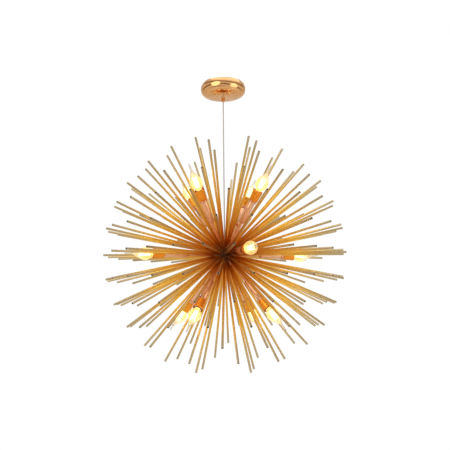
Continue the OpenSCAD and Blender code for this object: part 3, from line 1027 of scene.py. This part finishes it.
@dataclass
class Bulb:
    """One flame-tip bulb: base, glass, stem, supports and filament sticks."""

    index: int
    ray: Ray
    glass: bpy.types.Material
    glow: bpy.types.Material
    nickel: bpy.types.Material
    flats: int = 48
    steps: int = 56
    wall: float = 0.6 * MM
    reach: float = 30 * MM
    sticks: int = 6
    stick_r: float = 1.2 * MM
    stick_foot: float = 9 * MM
    foot_share: float = 0.22
    top_share: float = 0.36
    twist: float = 0.5
    skirt: float = 4.0 * MM
    neck: float = 7.9 * MM

    def label(self, word: str) -> str:
        """Name of one of this bulb's pieces."""
        return f"{word}_{self.index:02d}"

    @property
    def body(self) -> str:
        """The body that this bulb is."""
        return self.label("bulb")

    def glass_radius(self, height: float, length: float, wide: float) -> float:
        """Radius of the glass at a height above its neck's end.

        Args:
            height: Height above the end of the neck.
            length: Length of the whole glass.
            wide: Radius at the belly.

        Returns:
            The radius, in metres.
        """
        belly, tip_l, tip_r = 0.28 * length, 0.2 * length, 2.4 * MM
        if height < self.skirt:
            return self.neck
        if height < belly:
            rise = (height - self.skirt) / (belly - self.skirt)
            return self.neck + (wide - self.neck) * math.sin(math.pi / 2 * rise)
        if height < length - tip_l:
            fall = (height - belly) / (length - tip_l - belly)
            return tip_r + (wide - tip_r) * (1 + math.cos(math.pi * fall)) / 2
        end = (height - length + tip_l) / tip_l
        return tip_r * math.sqrt(max(0.0, 1 - end * end))

    def envelope(self) -> None:
        """Build the thin glass, closed at its tip."""
        node = self.label("bulb_glass")
        near, far, wide = self.ray.spread(node, self.reach)
        length = far - near
        heights = [length * (1 - (1 - step / self.steps) ** 1.4) for step in range(self.steps + 1)]
        outer = [(self.glass_radius(height, length, wide), near + height) for height in heights]
        outer[-1] = (0.0, far)
        inner_l = length - 3 * MM
        inner = [(max(0.0, self.glass_radius(height, inner_l, wide) - self.wall), near + height)
                 for height in (inner_l * step / self.steps for step in range(self.steps, -1, -1))]
        inner[0] = (0.0, near + inner_l)
        mesh = lathe_on_rays(outer + inner, self.flats, True, 0.0, [self.ray])
        piece = finish_piece(mesh, self.label("flame_glass"), self.glass, Facing.SMOOTH)
        stand_for(piece, self.body, Slot.CLEAR_GLASS, node)

    def filaments(self) -> None:
        """Build the glowing sticks, leaning from a narrow foot to a wide top."""
        near, far, wide = self.ray.spread(self.label("bulb_glass"), self.reach)
        low, high = near + self.stick_foot, near + 0.5 * (far - near)
        foot_r, top_r = self.foot_share * wide, self.top_share * wide
        whole = bmesh.new()
        for stick in range(self.sticks):
            turn = math.tau * stick / self.sticks
            lean = turn + self.twist
            foot = Vector((foot_r * math.cos(turn), foot_r * math.sin(turn), low))
            top = Vector((top_r * math.cos(lean), top_r * math.sin(lean), high))
            along = top - foot
            place = (Matrix.Translation((foot + top) / 2)
                     @ along.to_track_quat("Z", "Y").to_matrix().to_4x4())
            bmesh.ops.create_cone(whole, cap_ends=True, segments=10, radius1=self.stick_r,
                                  radius2=self.stick_r, depth=along.length,
                                  matrix=self.ray.place() @ place)
        round_off(whole, 0.3 * MM, math.radians(60))
        piece = finish_piece(whole, self.label("filaments"), self.glow)
        stand_for(piece, self.body, Slot.CLEAR_GLASS)

    def stem(self) -> None:
        """Build the glass stem with its flared foot and the crossed wires on its top."""
        near, far, wide = self.ray.spread(self.label("bulb_glass"), self.reach)
        low = near + 1.0 * MM
        top = near + 0.52 * (far - near)
        outline = [
            (0.0, low), (5.2 * MM, low), (4.6 * MM, low + 2 * MM), (2.2 * MM, low + 5 * MM),
            (1.4 * MM, low + 9 * MM), (1.1 * MM, top - 2 * MM), (1.6 * MM, top - 1 * MM),
            (1.2 * MM, top), (0.0, top + 0.3 * MM),
        ]
        mesh = lathe_on_rays(outline, 20, False, 0.0, [self.ray])
        piece = finish_piece(mesh, self.label("glass_stem"), self.glass, Facing.SMOOTH)
        stand_for(piece, self.body, Slot.CLEAR_GLASS)
        ring = bmesh.new()
        wire_r, wire_l = 0.45 * MM, 2 * self.top_share * wide
        for turn in (self.twist, self.twist + math.pi / 2):
            place = (Matrix.Translation((0, 0, top)) @ Matrix.Rotation(turn, 4, "Z")
                     @ Matrix.Rotation(math.pi / 2, 4, "Y"))
            bmesh.ops.create_cone(ring, cap_ends=True, segments=8, radius1=wire_r,
                                  radius2=wire_r, depth=wire_l,
                                  matrix=self.ray.place() @ place)
        wires = finish_piece(ring, self.label("support_wires"), self.nickel)
        stand_for(wires, self.body, Slot.NICKEL)

    def build(self) -> None:
        """Build and dress the bulb."""
        self.envelope()
        self.filaments()
        self.stem()
        dress(self.label("bulb_base"), self.nickel)


# ---------------------------------------------------------------- studio


@dataclass
class Studio:
    """Pale floor and backdrop, soft lights and the camera."""

    distance: float = 2.194
    below: float = math.radians(4.5)
    pitch: float = math.radians(6.62)
    side: float = 0.0016 / 2.194
    roll: float = math.radians(-0.57)
    lens: float = 64.0
    floor_z: float = -1.7
    half: float = 6.0
    front: float = -5.0
    back: float = 4.0
    height: float = 6.0
    bend: float = 1.2

    def camera(self) -> None:
        """Set the camera below the burst, looking slightly up at it."""
        data = bpy.data.cameras.new("camera")
        data.lens = self.lens
        data.sensor_width = 36.0
        camera = bpy.data.objects.new("camera", data)
        bpy.context.scene.collection.objects.link(camera)
        back = Vector((self.side, -math.cos(self.below), -math.sin(self.below)))
        camera.location = CENTRE + self.distance * back
        turn = (Matrix.Rotation(math.pi / 2 + self.pitch, 4, "X")
                @ Matrix.Rotation(self.roll, 4, "Z"))
        camera.rotation_euler = turn.to_euler()
        bpy.context.scene.camera = camera

    def white(self) -> bpy.types.Material:
        """Pale studio paper, which shows white and lights the object softly.

        Returns:
            The material of the floor and of the backdrop.
        """
        material, graph, shader = new_material("studio_paper")
        noise = graph.add("TexNoise")
        noise.inputs["Scale"].default_value = 6.0
        graph.link(graph.add("TexCoord").outputs["Object"], noise.inputs["Vector"])
        colour = graph.mix(noise.outputs[0], (0.93, 0.93, 0.93, 1), (0.95, 0.95, 0.95, 1))
        graph.link(colour, shader.inputs["Base Color"])
        shader.inputs["Roughness"].default_value = 0.9
        glow = graph.add("Emission")
        graph.link(colour, glow.inputs["Color"])
        glow.inputs["Strength"].default_value = 1.08
        both = graph.add("MixShader")
        path = graph.add("LightPath")
        graph.link(path.outputs["Is Camera Ray"], both.inputs[0])
        graph.link(shader.outputs[0], both.inputs[1])
        graph.link(glow.outputs[0], both.inputs[2])
        output = next(node for node in graph.tree.nodes if node.type == "OUTPUT_MATERIAL")
        graph.link(both.outputs[0], output.inputs["Surface"])
        return material

    def paper(self) -> None:
        """Build the floor, which curves up into a backdrop."""
        mesh = bmesh.new()
        straight, steps = self.back - self.bend, 12
        outline = [(self.front, 0.0), (straight, 0.0)]
        for step in range(1, steps + 1):
            turn = math.radians(90 * step / steps)
            outline.append((straight + self.bend * math.sin(turn),
                            self.bend * (1 - math.cos(turn))))
        outline.append((self.back, self.height))
        points = [mesh.verts.new((-self.half, y, self.floor_z + z)) for y, z in outline]
        edges = [mesh.edges.new(pair) for pair in zip(points, points[1:])]
        grown = bmesh.ops.extrude_edge_only(mesh, edges=edges)["geom"]
        moved = [item for item in grown if isinstance(item, bmesh.types.BMVert)]
        bmesh.ops.translate(mesh, vec=(2 * self.half, 0, 0), verts=moved)
        bmesh.ops.recalc_face_normals(mesh, faces=mesh.faces)
        finish_piece(mesh, "studio_paper", self.white(), Facing.SMOOTH)

    def light(self, name: str, place: tuple[float, float, float], size: float, power: float,
              colour: tuple[float, float, float]) -> None:
        """Set one soft area light that faces the burst.

        Args:
            name: Its name.
            place: Where it stands, relative to the centre of the burst.
            size: Diameter of its round face, in metres.
            power: Power, in watts.
            colour: Its colour.
        """
        data = bpy.data.lights.new(name, "AREA")
        data.shape = "DISK"
        data.size = size
        data.energy = power
        data.color = colour
        lamp = bpy.data.objects.new(name, data)
        lamp.location = CENTRE + Vector(place)
        lamp.rotation_euler = Vector(place).to_track_quat("Z", "Y").to_euler()
        bpy.context.scene.collection.objects.link(lamp)

    def sky(self) -> None:
        """Set an even surround that shows white and lights the object more weakly."""
        world = bpy.data.worlds.new("studio_air")
        bpy.context.scene.world = world
        world.use_nodes = True
        graph = Graph(world.node_tree)
        seen = graph.add("Background")
        seen.inputs["Color"].default_value = (1, 1, 1, 1)
        seen.inputs["Strength"].default_value = 1.05
        felt = graph.add("Background")
        way = graph.add("TexCoord").outputs["Generated"]
        height = graph.vector("DOT_PRODUCT", way, (0.18, 0.25, 1.0)).outputs["Value"]
        band = graph.math("ABSOLUTE", graph.math("SINE", graph.math("MULTIPLY", height, 5.5)))
        shade = graph.mix(band, (0.09, 0.06, 0.045, 1), (0.8, 0.75, 0.68, 1))
        graph.link(shade, felt.inputs["Color"])
        felt.inputs["Strength"].default_value = 1.1
        both = graph.add("MixShader")
        graph.link(graph.add("LightPath").outputs["Is Camera Ray"], both.inputs[0])
        graph.link(felt.outputs[0], both.inputs[1])
        graph.link(seen.outputs[0], both.inputs[2])
        graph.link(both.outputs[0], graph.add("OutputWorld").inputs["Surface"])

    def build(self) -> None:
        """Build the whole studio."""
        self.paper()
        self.sky()
        self.light("key", (-1.8, -2.2, 1.6), 2.6, 30.0, (1.0, 0.92, 0.82))
        self.light("fill", (2.4, -1.6, 0.4), 2.2, 16.0, (1.0, 0.92, 0.82))
        self.light("top", (0.3, 0.6, 2.6), 3.0, 20.0, (1.0, 0.95, 0.9))
        self.light("under", (0.0, -0.8, -2.2), 2.4, 12.0, (1.0, 0.94, 0.86))
        bpy.context.scene.view_settings.view_transform = "Standard"


# ---------------------------------------------------------------- finishes


def finishes() -> dict[Slot, bpy.types.Material]:
    """Build the finish of every slot.

    Returns:
        The material of each slot.
    """
    centre = tuple(CENTRE)
    glass_near, glass_far, _ = LAMP_RAYS[0].spread("bulb_glass_01", 30 * MM)
    length = glass_far - glass_near
    metals = {
        Slot.SATIN_GOLD: MetalFinish("satin_gold", (0.9, 0.57, 0.1), (0.8, 0.47, 0.07), 0.3,
                                     by_ray=True, patch_scale=9.0, lines=0.35,
                                     # The darker, deeper orange near the hub is painted shade and
                                     # painted warm inter-reflection among the crowded rods.
                                     root_shade=(0.72, 0.32, 0.035), tip=(0.52, 0.43, 0.27),
                                     centre=centre),
        Slot.DARK_GOLD: MetalFinish("dark_gold", (0.9, 0.6, 0.35), (0.75, 0.45, 0.22), 0.3,
                                    by_ray=True, thread_pitch=0.5 * MM, centre=centre),
        Slot.POLISHED_GOLD: MetalFinish("polished_gold", (0.82, 0.46, 0.21), (0.76, 0.4, 0.16),
                                        0.1, haze=0.03),
        Slot.ROSE_GOLD: MetalFinish("rose_gold", (0.88, 0.54, 0.36), (0.8, 0.46, 0.29), 0.13,
                                    haze=0.04, patch_scale=60.0),
        # The cups' deep orange is gold with a painted warm glow, the bulbs' light reflected
        # between the gold surfaces.
        Slot.CUP_GOLD_PAINTED_GLOW: MetalFinish("cup_gold", (0.96, 0.4, 0.05), (0.9, 0.33, 0.03), 0.28,
                                   patch_scale=60.0),
        Slot.BLACK_STEEL: MetalFinish("black_steel", (0.05, 0.035, 0.025), (0.09, 0.06, 0.04),
                                      0.4, patch_scale=80.0),
        Slot.ZINC: MetalFinish("zinc", (0.7, 0.71, 0.72), (0.6, 0.62, 0.65), 0.35,
                               patch_scale=180.0),
        Slot.NICKEL: MetalFinish("nickel", (0.8, 0.78, 0.74), (0.72, 0.7, 0.66), 0.2,
                                 patch_scale=150.0),
    }
    plastics = {
        Slot.CORD_GREY: PlasticFinish("cord_grey", (0.5, 0.49, 0.48), (0.42, 0.41, 0.4), 0.25),
        Slot.WIRE_SHEATH: PlasticFinish("wire_sheath", (0.86, 0.84, 0.78), (0.8, 0.77, 0.7), 0.5),
        Slot.WHITE_PLASTIC: PlasticFinish("white_plastic", (0.88, 0.87, 0.84), (0.82, 0.8, 0.76),
                                          0.45),
    }
    made = {slot: finish.material() for slot, finish in (metals | plastics).items()}
    made[Slot.CLEAR_GLASS] = LitGlassFinish(
        "clear_glass", (0.97, 0.87, 0.6), (1.0, 0.72, 0.3), 0.2, centre,
        glass_near + 0.35 * length, glass_near + 0.88 * length).material()
    return made


def main() -> None:
    """Build every class in order."""
    logging.basicConfig(level=logging.INFO, format="%(name)s %(message)s")
    made = finishes()
    Studio().build()
    Suspension(made[Slot.POLISHED_GOLD], made[Slot.BLACK_STEEL], made[Slot.NICKEL],
               made[Slot.CORD_GREY]).build()
    Canopy(made[Slot.POLISHED_GOLD], made[Slot.ZINC], made[Slot.WHITE_PLASTIC]).build()
    Hub(made[Slot.BLACK_STEEL], made[Slot.WHITE_PLASTIC]).build()
    # Near-black discs in the tube mouths: painted shade inside the bores.
    painted_bore_shade = PlasticFinish("painted_bore_shade", (0.012, 0.01, 0.008), (0.02, 0.016, 0.012), 0.8).material()
    RodField(made[Slot.SATIN_GOLD], made[Slot.DARK_GOLD], painted_bore_shade).build()
    LampArms(made[Slot.ROSE_GOLD], made[Slot.CUP_GOLD_PAINTED_GLOW], made[Slot.BLACK_STEEL],
             made[Slot.ZINC], made[Slot.WHITE_PLASTIC], made[Slot.WIRE_SHEATH]).build()
    glow = FilamentFinish("filament_glow", (1.0, 0.86, 0.55), 3.2).material()
    for index, ray in enumerate(LAMP_RAYS, start=1):
        Bulb(index, ray, made[Slot.CLEAR_GLASS], glow, made[Slot.NICKEL]).build()
    Studio().camera()


if __name__ == "__main__":
    main()
